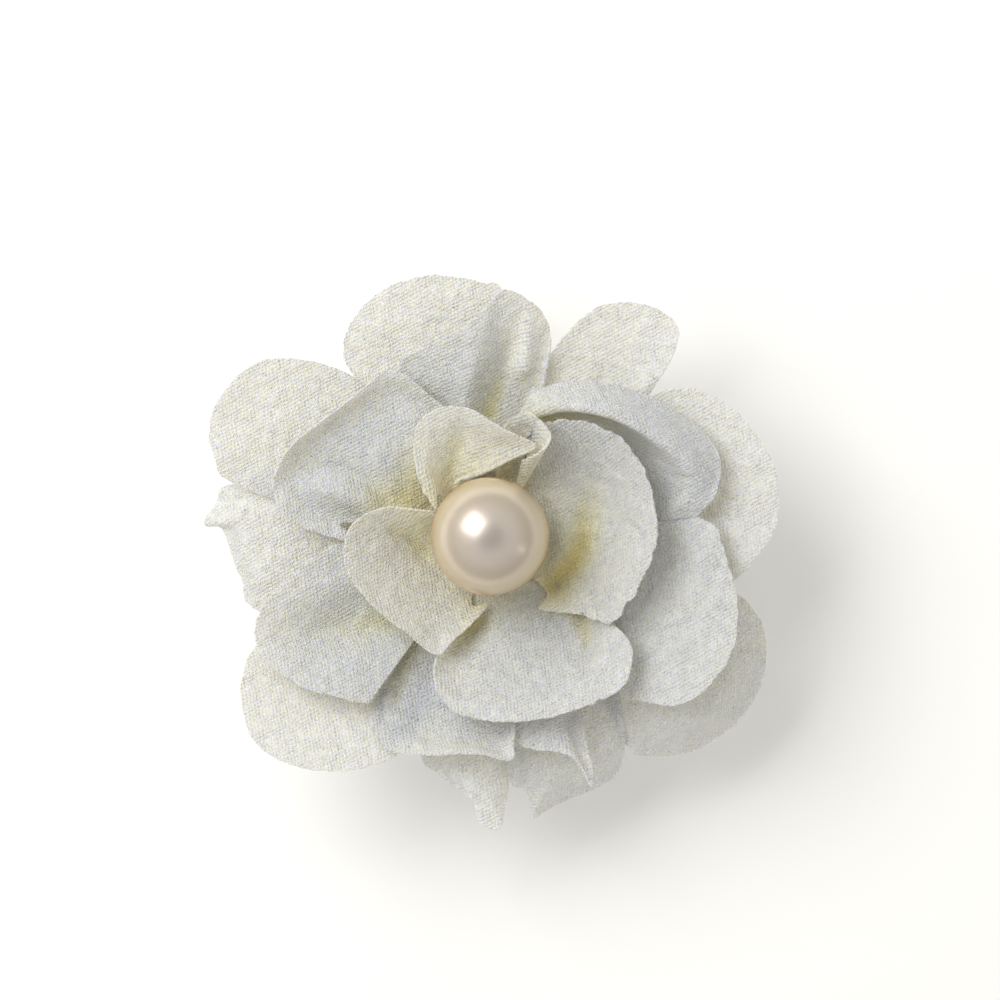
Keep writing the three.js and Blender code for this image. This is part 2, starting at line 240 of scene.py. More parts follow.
def satin_crepe():
    material = new_material("ivory_crepe_back_satin")
    cloth = add_node(material, "Attribute", {"attribute_name": "cloth"}).outputs["Vector"]
    depth = add_node(material, "Attribute", {"attribute_name": "depth"}).outputs["Fac"]
    puckers = add_node(material, "TexNoise", Vector=cloth, Scale=1 / PUCKER, Detail=3.0,
                       Roughness=0.6).outputs["Fac"]
    crumples = add_node(material, "TexNoise", Vector=cloth, Scale=1 / CRUMPLE, Detail=1.0,
                        Distortion=0.5).outputs["Fac"]
    # Two crossing sets of threads, bent a little by their crepe twist, leave rows of round floats, and
    # some floats stand higher than others.
    twist = add_node(material, "TexNoise", Vector=cloth, Scale=1 / TWIST_PATCH, Detail=1.0)
    floats = add_node(material, "MapRange", Value=twist.outputs["Fac"], From_Min=0.35, From_Max=0.65,
                      To_Min=0.6, To_Max=1.1).outputs["Result"]
    for slant in THREAD_SLANTS:
        turned = add_node(material, "Mapping", Vector=cloth, Rotation=(0, 0, math.radians(slant)))
        threads = add_node(material, "TexWave", {"bands_direction": "X"},
                           Vector=turned.outputs["Vector"], Scale=WAVE_BAND / THREAD_PITCH,
                           Distortion=3.2, Detail=2.0, Detail_Scale=1.1).outputs["Fac"]
        floats = add_node(material, "Math", {"operation": "MULTIPLY"}, Value=floats,
                          Value_001=threads).outputs["Value"]
    normal = None
    for relief, height in ((floats, FLOAT_HEIGHT), (puckers, PUCKER_HEIGHT), (crumples, CRUMPLE_HEIGHT)):
        below = {"Normal": normal} if normal else {}
        bump = add_node(material, "Bump", Strength=1.0, Distance=height, Height=relief, **below)
        normal = bump.outputs["Normal"]
    # The colour runs from the cloth's own ivory to a painted yellow glow as "depth" rises. The glow is
    # painted where bounced light would warm the cloth.
    painted_glow = add_node(material, "ValToRGB", Fac=depth)
    ramp = painted_glow.color_ramp
    ramp.elements[0].color = linear("#F4F4EF")
    ramp.elements[1].color = linear("#FEDC92")
    ramp.elements.new(0.4).color = linear("#FCF9E8")
    ramp.elements.new(0.75).color = linear("#FEF0C4")
    # The gaps between floats look darker, because light is lost between the threads.
    shaded = add_node(material, "MapRange", Value=floats, From_Max=0.6, To_Min=0.87, To_Max=1.0)
    tint = add_node(material, "VectorMath", {"operation": "SCALE"}, Vector=painted_glow.outputs["Color"],
                    Scale=shaded.outputs["Result"])
    rough = add_node(material, "MapRange", Value=floats, To_Min=0.65, To_Max=0.3)
    surface = add_node(material, "BsdfPrincipled", Base_Color=tint.outputs["Vector"],
                       Roughness=rough.outputs["Result"], Normal=normal, Coat_Normal=normal,
                       Subsurface_Weight=0.8, Subsurface_Scale=1.0, Subsurface_Radius=LIGHT_REACH,
                       Sheen_Weight=0.15, Sheen_Roughness=0.4, Coat_Weight=0.7, Coat_Roughness=0.36)
    add_node(material, "OutputMaterial", Surface=surface.outputs["BSDF"])
    return material


satin = satin_crepe()
print("threads", round(THREAD_PITCH / MM, 2), "mm apart")

# %% [markdown]
# ## How a petal is described
# A real petal is cut flat and pressed to shape with a hot iron. A simulated cloth would fold where it
# liked, so a lobe is a loft through given lines. It starts on the ring of cloth round the stitch,
# passes through zero or more courses of points, and ends on its cut edge. Each course is a short list
# of (x, y, z) points in millimetres from the pearl's axis and the back of the jaw, and a smooth curve
# joins them. Folds are then pressed in: each is a line of (x, y, height, width) points, with a negative
# height for a groove. A painted glow is such a line too, but it only paints warmer colour into the
# cloth, where light coming through it would glow. "cup" says how soon a lobe without courses rises,
# "dome" swells it, "soft" is how much it waves, and "ragged" is how far its edge has frayed.

# %% Curves and lofts
# Lofts are worked out in plain millimetres, which become metres when the mesh is made.
HOLE_RADIUS = 1.7
RING_RADIUS = 3.0
COLUMNS = 132           # round the cut edge, few enough to keep a layer under 200,000 triangles
ROWS = 60               # from the ring to the cut edge
RING_ROWS = 3           # from the stitch hole to the ring
STEPS_BETWEEN_POINTS = 24
FOLD_STEPS = 60
COURSE_AT = 0.55        # where a plain lobe's one course lies, from its ring to its edge
PLAIN_CUP = 0.4
FLAT_ROOT = 0.25        # the part of a lobe next to the ring where waves are still growing
WAVE, WAVE_SIZE = 0.3, 4.5
RIPPLE, RIPPLE_GROWTH, RIPPLE_SIZE = 0.05, 0.07, 1.3
NICK, NICK_SIZE = 0.15, 0.7
WANDER, WANDER_SIZE = 0.14, 2.5
# Painted glow: how much warm colour is painted near the middle, in grooves and along glow lines.
PAINTED_GLOW_AT_CENTRE = 1.0
PAINTED_GLOW_REACH = 20
PAINTED_GLOW_IN_GROOVES = 0.2
PAINTED_GLOW_ALONG_LINES = 0.9


def smooth_between(points, places):
    """Catmull-Rom values through the points (along axis 0) at places from 0 to 1."""
    before = 2 * points[0] - points[1]
    after = 2 * points[-1] - points[-2]
    padded = np.concatenate([before[None], points, after[None]])
    along = np.asarray(places) * (len(points) - 1)
    first = np.minimum(along.astype(int), len(points) - 2)
    t = (along - first).reshape((-1,) + (1,) * (points.ndim - 1))
    a, b, c, d = (padded[first + i] for i in range(4))
    curve = 2 * b + (c - a) * t + (2 * a - 5 * b + 4 * c - d) * t**2 + (3 * b - a - 3 * c + d) * t**3
    return curve / 2


def even_course(points, count):
    """Count points, evenly spaced along the smooth curve through the given ones."""
    points = np.array(points, float)
    dense = smooth_between(points, np.linspace(0, 1, STEPS_BETWEEN_POINTS * (len(points) - 1) + 1))
    length = np.concatenate([[0], np.cumsum(np.linalg.norm(np.diff(dense, axis=0), axis=1))])
    even = np.linspace(0, length[-1], count)
    return np.column_stack([np.interp(even, length, dense[:, axis]) for axis in range(3)])


def arc(radius, start, end, z):
    angles = np.radians(np.linspace(start, end, COLUMNS))
    return np.column_stack([radius * np.cos(angles), radius * np.sin(angles), np.full(COLUMNS, z)])


def along_line(grid, line):
    """The height at each point of a soft ridge along a curve of (x, y, height, width) points."""
    curve = smooth_between(np.array(line, float), np.linspace(0, 1, FOLD_STEPS))
    apart = grid[..., None, :2] - curve[:, :2]
    lift = np.abs(curve[:, 2]) * np.exp(-(apart**2).sum(axis=-1) / curve[:, 3] ** 2)
    return np.sign(line[0][2]) * lift.max(axis=-1)


def rough_noise(points, scale, seed):
    """Smooth noise from -1 to 1 at each point, with features about as large as scale."""
    flat = points.reshape(-1, 3)
    shift = Vector((seed * 7.3, seed * 3.1, seed * 5.7))
    values = [noise.noise(Vector(p) / scale + shift) for p in flat]
    return np.array(values).reshape(points.shape[:-1])


def lobe_grid(lobe, ring_z, stand, seed):
    """The lobe's points, in rows from the stitch hole to the cut edge, and the painted glow of each one.
    """
    start, end = lobe["ring"]
    hole = arc(HOLE_RADIUS, start, end, ring_z)
    ring = arc(RING_RADIUS, start, end, ring_z)
    edge = even_course(lobe["edge"], COLUMNS)
    middles = [even_course(course, COLUMNS) for course in lobe.get("courses", [])]
    if not middles:
        middle = ring + COURSE_AT * (edge - ring)
        middle[:, 2] = ring[:, 2] + lobe.get("cup", PLAIN_CUP) * (edge[:, 2] - ring[:, 2])
        middles = [middle]
    places = np.linspace(0, 1, ROWS)
    grid = smooth_between(np.stack([ring, *middles, edge]), places)
    grid[..., 2] = ring_z + stand * (grid[..., 2] - ring_z)
    # The painted glow stands in for light bounced between the layers. It is warmest near the pearl,
    # fades outwards, and is stronger along grooves.
    painted_glow = np.clip(PAINTED_GLOW_AT_CENTRE - np.hypot(grid[..., 0], grid[..., 1]) / PAINTED_GLOW_REACH, 0, 1)
    for fold in lobe.get("folds", []):
        lift = along_line(grid, fold)
        grid[..., 2] += lift
        painted_glow += PAINTED_GLOW_IN_GROOVES * np.maximum(0, -lift)
    # A glow line only paints warmer colour, where light coming through the cloth would glow.
    for glow in lobe.get("painted_glows", []):
        painted_glow += PAINTED_GLOW_ALONG_LINES * along_line(grid, glow)
    grid[..., 2] += lobe.get("dome", 0) * np.sin(np.pi * places)[:, None]
    ease = np.minimum(1, places / FLAT_ROOT)[:, None]
    ripple = RIPPLE + RIPPLE_GROWTH * places[:, None]
    grid[..., 2] += ease * lobe.get("soft", 1) * WAVE * rough_noise(grid, WAVE_SIZE, seed)
    grid[..., 2] += ease * ripple * rough_noise(grid, RIPPLE_SIZE, seed + 60)
    # The die leaves a slightly uneven edge, and threads work loose from it.
    outward = grid[-1] - grid[-4]
    outward /= np.linalg.norm(outward, axis=-1, keepdims=True) + 1e-9
    fray = NICK * rough_noise(edge, NICK_SIZE, seed + 20)
    fray += WANDER * rough_noise(edge, WANDER_SIZE, seed + 40)
    grid[-2:] += outward * fray[:, None] * lobe.get("ragged", 1)
    inner = hole + (ring - hole) * np.linspace(0, 1, RING_ROWS, endpoint=False)[:, None, None]
    inner_painted_glow = np.repeat(painted_glow[:1], RING_ROWS, axis=0)
    return np.concatenate([inner, grid]), np.clip(np.concatenate([inner_painted_glow, painted_glow]), 0, 1)


# %% [markdown]
# Cloth is woven flat. A point's flat place is its place seen from above, moved outwards by the cloth
# that its slopes hide, so that the weave isn't stretched where the cloth stands up or rolls over.
#
# Two pieces of cloth can't share a place. A ray falls on each point from above, and where it meets a
# lower layer too close under the point, or over it, the point is lifted clear. The lift is spread over
# its neighbours, so that the petal drapes over what it touches and doesn't crack.

# %% From grids to a sheet
CLOTH_THICKNESS = 0.22
CLOTH_GAP = 0.35
LIFT_SOFTNESS = 0.22
LIFT_REACH = 3          # in grid points
ABOVE_IT_ALL = 40
LARGEST_POWER = 60      # keeps exp() within what a float can hold
WELD = 0.004


def flat_places(grid):
    steps = np.diff(grid, axis=0)
    rise = np.linalg.norm(steps, axis=-1) - np.linalg.norm(steps[..., :2], axis=-1)
    hidden = np.concatenate([np.zeros_like(rise[:1]), np.cumsum(rise, axis=0)])
    outward = grid[-1].mean(axis=0)[:2]
    outward /= np.linalg.norm(outward)
    flat = grid[..., :2] + hidden[..., None] * outward
    return np.concatenate([flat, np.zeros_like(grid[..., :1])], axis=-1)


def store_vectors(mesh, name, values):
    layer = mesh.attributes.new(name, "FLOAT_VECTOR", "POINT")
    layer.data.foreach_set("vector", np.asarray(values, np.float32).ravel())


def store_numbers(mesh, name, values):
    layer = mesh.attributes.new(name, "FLOAT", "POINT")
    layer.data.foreach_set("value", np.asarray(values, np.float32).ravel())


def near_each(values):
    """The square of neighbouring values round each value of a grid."""
    padded = np.pad(values, LIFT_REACH, mode="edge")
    window = (2 * LIFT_REACH + 1, 2 * LIFT_REACH + 1)
    return np.lib.stride_tricks.sliding_window_view(padded, window)


def lay_over(grid, layers):
    """Lift the points that would pass through the cloth layers already sewn below."""
    down = Vector((0, 0, -1))
    for layer in layers:
        lift = np.zeros(grid.shape[:2])
        for place in np.ndindex(lift.shape):
            x, y, z = grid[place]
            touch = layer.ray_cast(Vector((x, y, ABOVE_IT_ALL)), down)[0]
            if touch is not None:
                lack = (touch.z + CLOTH_GAP - z) / LIFT_SOFTNESS
                lift[place] = LIFT_SOFTNESS * math.log1p(math.exp(min(lack, LARGEST_POWER)))
        lift = near_each(near_each(lift).max(axis=(-1, -2))).mean(axis=(-1, -2))
        lift[:RING_ROWS + 1] = 0
        grid[..., 2] += lift


def petal_sheet(name, ring_z, lobes, stand, seed, layers):
    """One layer: its lobes, welded where they meet at the ring, as a thin closed sheet."""
    points, faces, flat, depth = [], [], [], []
    for number, lobe in enumerate(lobes):
        grid, painted_glow = lobe_grid(lobe, ring_z, stand, seed + number)
        lay_over(grid, layers)
        rows, columns = grid.shape[:2]
        first = sum(len(p) for p in points)
        index = first + np.arange(rows * columns).reshape(rows, columns)
        faces += np.stack([index[:-1, :-1], index[1:, :-1], index[1:, 1:], index[:-1, 1:]],
                          axis=-1).reshape(-1, 4).tolist()
        points.append(grid.reshape(-1, 3))
        flat.append(flat_places(grid).reshape(-1, 3))
        depth.append(painted_glow.reshape(-1))
    mesh = bpy.data.meshes.new(name)
    mesh.from_pydata((np.concatenate(points) * MM).tolist(), [], faces)
    layers.append(BVHTree.FromPolygons(np.concatenate(points).tolist(), faces))
    store_vectors(mesh, "cloth", np.concatenate(flat) * MM)
    # "depth" holds each point's painted glow, which the satin paints in as warmer colour.
    store_numbers(mesh, "depth", np.concatenate(depth))
    sheet = bpy.data.objects.new(name, mesh)
    scene.collection.objects.link(sheet)
    mesh.materials.append(satin)
    select_only(sheet)
    bpy.ops.object.mode_set(mode="EDIT")
    bpy.ops.mesh.select_all(action="SELECT")
    bpy.ops.mesh.remove_doubles(threshold=WELD * MM)
    bpy.ops.object.mode_set(mode="OBJECT")
    area = sum(face.area for face in mesh.polygons)
    wall = sheet.modifiers.new("cloth_thickness", "SOLIDIFY")
    wall.thickness = CLOTH_THICKNESS * MM
    wall.offset = 0
    bpy.ops.object.modifier_apply(modifier=wall.name)
    bpy.ops.object.shade_smooth_by_angle(angle=math.radians(60))
    print(name, len(mesh.polygons), "faces,", round(area * 1e4, 1), "cm2 of cloth")
    return sheet, area


# %% [markdown]
# ## The inner layer
# The smallest layer stands up round the pearl. Going round from the right: one broad cup, a small
# turned tip, a lobe curled over on itself, a lobe with a pressed groove, and a broad bright one below.

# %% Inner layer
INNER_LOBES = [
    {
        "ring": (-54, 45),
        "courses": [[(6.6, -6.4, 12.2), (10.4, -4.8, 12.7), (12.6, -1.4, 12.8), (12.8, 2.6, 13.0),
                     (11.4, 6.6, 13.2), (7.8, 8.6, 13.2), (4.2, 7.6, 12.8)]],
        "edge": [(5.8, -8.6, 12.9), (9.4, -9.2, 14.0), (12.4, -9.8, 15.2),
                 (14.0, -10.4, 15.4), (15.4, -9.6, 16.2), (15.9, -8.2, 16.6), (17.0, -7.4, 17.0),
                 (18.2, -4.4, 17.6), (19.5, -0.8, 18.2), (19.5, 3.0, 18.6), (18.4, 7.4, 18.6),
                 (15.6, 11.5, 18.2), (11.8, 13.4, 17.6), (7.9, 13.7, 17.0), (4.6, 12.2, 16.0),
                 (3.4, 9.6, 14.6)],
        "folds": [[(12.0, 6.5, -0.1, 2.2), (11.8, 3.5, -0.8, 2.0), (10.8, -2.0, -1.0, 1.9),
                   (8.0, -6.0, -0.6, 1.6)],
                  [(8.6, 4.5, 0.2, 1.6), (8.8, 0.0, 0.9, 1.4), (7.6, -4.0, 0.3, 1.4)],
                  [(17.0, 7.5, 0.2, 2.0), (17.4, 2.0, 0.5, 2.2), (15.6, -4.5, 0.4, 2.0)]],
        "painted_glows": [[(12.2, 5.0, 0.1, 2.2), (10.8, -1.5, 0.36, 2.2), (7.6, -6.0, 0.4, 2.4)]],
        "ragged": 2.2,
    },
    {
        "ring": (45, 75),
        "edge": [(3.8, 9.0, 17.2), (5.6, 9.8, 19.4), (7.1, 11.4, 20.0), (6.5, 13.2, 18.4),
                 (4.4, 14.8, 16.4), (2.6, 14.2, 15.8), (1.4, 12.2, 15.6), (0.8, 9.0, 15.0)],
        "ragged": 1.6,
    },
    {
        "ring": (75, 140),
        "courses": [[(-3.3, 4.6, 13.4), (-3.6, 4.8, 13.5), (-3.9, 4.7, 13.6), (-4.3, 4.3, 13.6),
                     (-4.6, 3.9, 13.6)],
                    [(-4.0, 6.5, 15.8), (-1.2, 7.9, 16.6), (0.0, 9.8, 17.0), (-2.8, 11.6, 17.0),
                     (-6.2, 11.4, 17.4), (-7.2, 8.4, 17.6), (-6.2, 5.0, 17.4)]],
        "edge": [(-4.2, 6.2, 16.2), (-1.2, 7.2, 17.0), (2.4, 9.0, 17.9), (5.5, 10.6, 18.6),
                 (2.6, 12.2, 19.6), (0.0, 13.7, 19.8), (-2.0, 14.9, 19.4), (-4.7, 15.4, 18.8),
                 (-7.1, 14.7, 18.4), (-8.5, 13.2, 18.2), (-9.0, 11.0, 18.2), (-8.7, 8.2, 18.4),
                 (-7.9, 5.4, 18.4), (-6.3, 3.2, 18.2)],
        "folds": [[(-3.2, 13.0, -0.4, 1.3), (-3.8, 10.6, -0.9, 1.3), (-4.6, 8.0, -0.7, 1.0),
                   (-5.2, 6.0, -0.3, 0.8)]],
    },
    {
        "ring": (140, 250),
        "courses": [[(-6.4, 2.2, 16.4), (-8.4, 1.6, 15.6), (-10.0, 0.0, 14.4), (-10.2, -3.0, 13.6),
                     (-8.4, -6.2, 13.4), (-5.2, -8.4, 13.2), (-2.2, -8.0, 12.2)]],
        "edge": [(-6.2, 2.9, 17.8), (-9.0, 3.2, 18.2), (-12.2, 3.4, 18.4), (-15.3, 2.2, 18.4),
                 (-16.9, 0.1, 18.2), (-17.1, -3.1, 18.0), (-15.8, -5.9, 17.6), (-13.0, -9.0, 17.2),
                 (-9.6, -11.6, 16.8), (-6.4, -14.1, 16.2), (-4.3, -12.3, 15.6), (-1.5, -9.8, 13.8),
                 (-0.2, -8.0, 13.0)],
        "folds": [[(-12.8, 1.6, -0.2, 1.2), (-10.6, 0.4, -0.7, 1.0), (-7.6, -1.6, -0.7, 1.0)]],
    },
    {
        "ring": (244, 318),
        "courses": [[(-3.4, -7.0, 11.2), (-4.0, -11.8, 12.0), (0.4, -13.6, 13.4), (5.0, -13.6, 13.6),
                     (9.4, -13.0, 13.0), (11.2, -9.6, 11.6), (9.6, -6.0, 10.8)]],
        "edge": [(-3.4, -7.4, 11.8), (-4.4, -11.4, 13.4), (-6.4, -14.5, 15.4), (-6.4, -17.9, 16.4),
                 (-4.4, -20.5, 17.2), (-1.2, -21.6, 17.6), (2.6, -21.9, 17.8), (7.1, -21.3, 17.9),
                 (13.0, -19.4, 17.8), (15.9, -17.5, 17.4), (16.9, -14.3, 16.8), (16.2, -11.9, 16.2),
                 (14.4, -10.2, 14.1), (12.6, -7.6, 11.6), (10.6, -5.2, 10.9)],
        "folds": [[(10.4, -8.6, -0.6, 1.4), (11.4, -11.4, -0.9, 1.2), (11.8, -14.4, -0.3, 1.0)],
                  [(13.6, -11.0, 0.5, 1.3), (13.8, -14.5, 0.9, 1.5)],
                  [(-1.8, -10.6, -0.8, 1.7), (-4.0, -15.0, -0.4, 1.8)]],
        "painted_glows": [[(10.2, -8.6, 0.4, 1.7), (11.6, -12.6, 0.4, 1.4)],
                  [(-2.0, -10.0, 0.35, 1.6), (-4.0, -13.0, 0.2, 1.4)]],
        "ragged": 1.3,
    },
]

print(len(INNER_LOBES), "lobes in the inner layer")

# %% [markdown]
# ## The middle layer
# The larger cups stand behind the inner ones. The left one has a bulge with a crease above it, the one
# at the top right rolls outwards along its crest, and a narrow fold of cloth is caught between the two
# lobes at the bottom.

# %% Middle layer
MIDDLE_LOBES = [
    {
        "ring": (5, 75),
        "courses": [[(15.5, 1.2, 12.6), (18.5, 4.4, 13.0), (17.0, 9.2, 12.9), (12.3, 13.0, 12.6),
                     (7.5, 13.6, 12.4), (3.6, 11.6, 12.4)],
                    [(21.6, 1.9, 14.8), (24.0, 6.0, 17.0), (21.6, 10.0, 18.4), (15.4, 13.8, 19.0),
                     (9.4, 15.0, 18.6), (4.6, 14.0, 16.4)]],
        "painted_glows": [[(5.0, 14.2, 0.4, 1.8), (9.0, 14.0, 0.35, 1.8), (13.6, 12.6, 0.2, 1.8)]],
        "edge": [(24.6, 2.4, 15.4), (26.7, 4.9, 16.2), (27.4, 8.6, 15.6), (26.0, 11.6, 14.6),
                 (22.8, 14.2, 14.2), (19.2, 16.4, 14.4), (14.8, 18.0, 15.0), (10.8, 18.4, 15.8),
                 (7.5, 18.0, 16.4), (5.0, 16.8, 17.0), (3.9, 15.2, 16.2), (2.4, 12.8, 14.2)],
        "ragged": 0.8,
    },
    {
        "ring": (75, 180),
        "courses": [[(-1.6, 6.0, 11.0), (-4.6, 7.8, 12.4), (-8.0, 8.2, 13.1), (-10.6, 6.8, 13.4),
                     (-11.8, 4.6, 13.3), (-11.0, 2.4, 12.8), (-8.4, 0.8, 11.4)],
                    [(-2.8, 11.6, 12.4), (-7.4, 14.6, 13.4), (-12.4, 15.8, 14.0), (-17.6, 13.0, 14.0),
                     (-21.6, 9.0, 13.4), (-21.6, 4.6, 12.6), (-17.6, 1.6, 12.4)]],
        "edge": [(-2.6, 13.0, 13.2), (-7.0, 16.6, 14.6), (-9.8, 19.0, 15.8), (-11.9, 19.7, 16.2),
                 (-13.6, 18.8, 16.4), (-15.8, 16.9, 16.6), (-19.8, 13.8, 16.6), (-23.7, 10.6, 16.2),
                 (-25.5, 7.4, 15.4), (-25.7, 4.9, 14.4), (-24.5, 2.7, 14.4), (-22.0, 1.0, 14.0),
                 (-18.6, -0.2, 13.6), (-15.0, -0.8, 13.0)],
        "folds": [[(-22.6, 5.4, 0.6, 1.8), (-19.0, 5.2, 1.7, 2.0), (-15.6, 4.0, 1.7, 1.9),
                   (-12.8, 1.8, 0.6, 1.6)],
                  [(-21.4, 8.6, -0.3, 1.0), (-17.8, 8.3, -0.9, 1.1), (-14.8, 6.8, -0.9, 1.1),
                   (-12.4, 4.2, -0.3, 1.0)],
                  [(-10.0, 15.5, 0.2, 2.0), (-8.0, 11.0, 0.9, 2.2), (-8.0, 7.0, 0.6, 2.0)]],
        "painted_glows": [[(-19.0, 4.2, 0.25, 2.8), (-14.5, 3.4, 0.35, 3.0)],
                  [(-10.0, 5.0, 0.4, 3.0), (-8.0, 9.0, 0.35, 3.0)]],
    },
    {
        "ring": (180, 234),
        "edge": [(-15.0, -0.8, 12.8), (-18.4, -1.0, 13.4), (-20.9, -2.6, 14.4), (-25.4, -6.3, 15.4),
                 (-27.3, -9.0, 15.6), (-27.9, -11.4, 15.4), (-27.3, -14.1, 15.2), (-25.0, -16.3, 15.4),
                 (-21.7, -18.1, 15.8), (-17.6, -19.2, 15.8), (-14.4, -19.8, 15.2)],
        "cup": 0.45,
        "folds": [[(-24.4, -11.4, -0.8, 2.0), (-18.0, -11.2, -1.7, 2.5), (-11.0, -10.2, -1.2, 2.2)],
                  [(-23.0, -7.0, 0.2, 1.6), (-16.0, -5.6, 0.9, 1.8)]],
        "painted_glows": [[(-20.0, -10.4, 0.2, 2.2), (-13.0, -9.6, 0.35, 2.4)]],
        "ragged": 1.4,
    },
    {
        "ring": (234, 286),
        "courses": [[(-8.8, -12.4, 11.0), (-10.4, -17.0, 10.8), (-8.0, -20.8, 11.4), (-3.0, -21.8, 12.4),
                     (1.6, -21.2, 12.6), (2.4, -17.0, 12.0)]],
        "folds": [[(-9.6, -13.0, -0.4, 1.8), (-11.4, -18.0, -1.4, 1.8), (-12.6, -21.4, -0.5, 1.4)]],
        "painted_glows": [[(-9.6, -13.0, 0.45, 2.2), (-11.0, -18.0, 0.4, 2.2), (-12.6, -21.6, 0.2, 1.6)]],
        "edge": [(-13.6, -19.2, 12.6), (-14.2, -21.8, 13.4), (-13.1, -24.2, 14.2), (-11.4, -25.7, 14.8),
                 (-8.2, -26.0, 15.4), (-4.6, -25.8, 15.9), (-1.0, -25.8, 16.0), (2.5, -26.5, 15.8),
                 (2.9, -24.2, 14.8), (3.0, -19.0, 13.2)],
        "ragged": 1.3,
    },
    {
        "ring": (286, 294),
        "edge": [(3.2, -17.0, 12.4), (3.1, -22.0, 12.8), (3.5, -24.7, 13.4), (5.4, -25.4, 14.2),
                 (7.6, -25.5, 14.6), (9.6, -26.1, 14.6), (10.8, -27.4, 14.2), (12.1, -29.8, 13.4),
                 (12.2, -27.5, 12.8), (11.5, -24.5, 12.4), (11.1, -21.0, 12.2), (10.6, -17.0, 12.0)],
        "cup": 0.8,
        "dome": -0.6,
        "soft": 0.4,
    },
    {
        "ring": (294, 365),
        "courses": [[(9.0, -13.4, 11.8), (14.0, -13.6, 12.2), (18.4, -11.4, 13.0), (20.6, -6.0, 13.6),
                     (19.6, -0.6, 13.4), (15.5, 1.2, 12.8)]],
        "edge": [(12.4, -17.6, 12.2), (19.2, -19.9, 14.4), (23.7, -19.5, 15.4), (26.6, -17.0, 15.9),
                 (28.6, -13.8, 16.1), (29.3, -10.2, 16.2), (29.2, -6.8, 16.2), (28.1, -2.8, 16.0),
                 (26.9, 0.9, 15.8), (24.8, 2.3, 15.4)],
        "dome": 0.3,
        "folds": [[(25.6, -14.0, 0.2, 2.4), (26.0, -8.0, 0.6, 2.6), (25.4, -3.0, 0.5, 2.2)],
                  [(17.0, -14.0, -0.3, 2.6), (20.8, -8.0, -0.7, 2.6), (21.4, -1.5, -0.5, 2.4)]],
        "painted_glows": [[(15.0, -13.0, 0.35, 2.6), (20.4, -8.0, 0.3, 3.0), (21.0, -0.5, 0.3, 2.6)]],
        "ragged": 1.2,
    },
]

print(len(MIDDLE_LOBES), "lobes and folds in the middle layer")

# %% [markdown]
# ## The lower layer
# The lower layer lies open. Its lobes are shallow cups, except the top one, which has a deep fold with
# a ridge each side of it, and the one at the bottom, which droops to a point.

# %% Lower layer
LOWER_LOBES = [
    {
        "ring": (-30, 50),
        "edge": [(24.0, -8.0, 10.4), (29.2, -5.2, 12.4), (31.4, -3.0, 13.4), (33.3, -0.4, 13.6),
                 (34.2, 2.4, 13.6), (34.2, 5.4, 13.6), (33.7, 8.4, 13.6), (31.9, 11.9, 13.2),
                 (29.1, 15.0, 12.8), (26.0, 17.1, 12.4), (22.5, 17.6, 12.2), (19.4, 16.7, 12.0),
                 (12.0, 12.0, 11.2)],
        "cup": 0.55,
    },
    {
        "ring": (50, 120),
        "edge": [(5.0, 13.0, 11.0), (7.0, 20.9, 10.8), (7.1, 24.8, 10.9), (5.1, 27.8, 12.4),
                 (1.7, 29.3, 14.0), (-1.0, 26.6, 14.4), (-4.5, 23.7, 14.4), (-8.0, 22.4, 14.2),
                 (-10.6, 21.0, 13.8), (-10.4, 19.4, 13.2), (-7.0, 16.0, 12.0)],
        "cup": 0.45,
        "folds": [[(3.2, 25.6, -0.3, 1.3), (1.8, 20.6, -0.8, 1.5), (-0.2, 14.6, -0.9, 1.6)],
                  [(-0.6, 25.6, 0.3, 1.4), (-2.0, 20.6, 1.0, 1.6), (-3.0, 16.0, 0.9, 1.6)],
                  [(4.8, 25.0, 0.4, 1.2), (4.2, 20.0, 1.2, 1.3)]],
        "painted_glows": [[(2.8, 24.6, 0.2, 1.4), (1.8, 20.0, 0.4, 1.5), (0.0, 15.0, 0.45, 1.6)]],
    },
    {
        "ring": (120, 190),
        "edge": [(-10.0, 15.0, 10.8), (-16.2, 18.9, 12.0), (-18.2, 19.9, 12.4), (-21.7, 20.9, 12.9),
                 (-26.1, 21.1, 13.3), (-28.9, 19.9, 13.4), (-31.4, 17.5, 13.4), (-33.0, 14.9, 13.3),
                 (-33.5, 11.8, 13.0), (-32.7, 9.0, 12.6), (-31.0, 6.5, 12.0), (-22.0, 3.0, 10.8)],
        "cup": 0.5,
        "dome": -0.3,
    },
    {
        "ring": (190, 255),
        "edge": [(-20.0, -6.0, 9.8), (-27.7, -12.8, 11.2), (-29.5, -16.9, 12.0), (-29.6, -20.2, 12.8),
                 (-28.3, -23.8, 13.8), (-25.7, -26.2, 14.4), (-21.7, -27.6, 14.8), (-17.4, -27.9, 14.6),
                 (-13.4, -27.1, 14.0), (-10.9, -25.9, 13.2), (-5.0, -18.0, 10.4)],
        "cup": 0.4,
        "dome": -0.7,
        "ragged": 1.2,
    },
    {
        "ring": (255, 330),
        "edge": [(0.0, -18.0, 9.6), (2.3, -29.1, 9.2), (4.0, -30.2, 8.0), (4.9, -32.4, 6.8),
                 (5.3, -34.1, 6.2), (6.8, -33.0, 5.6), (9.2, -31.8, 5.2), (12.6, -30.5, 5.0),
                 (15.1, -28.7, 5.2), (16.2, -25.0, 6.0), (15.0, -16.0, 9.0)],
        "courses": [[(0.4, -18.0, 9.8), (2.6, -23.6, 10.8), (6.6, -25.4, 10.4), (10.8, -24.6, 9.6),
                     (13.4, -20.6, 9.4), (12.4, -15.0, 9.4)]],
    },
]

print(len(LOWER_LOBES), "lobes in the lower layer")

# %% [markdown]
# ## The bottom layer
# The bottom layer shows only between the others: a tip at the left, two at the top, a narrow point at
# the bottom, and a broad lobe at the lower right that droops away from the light.

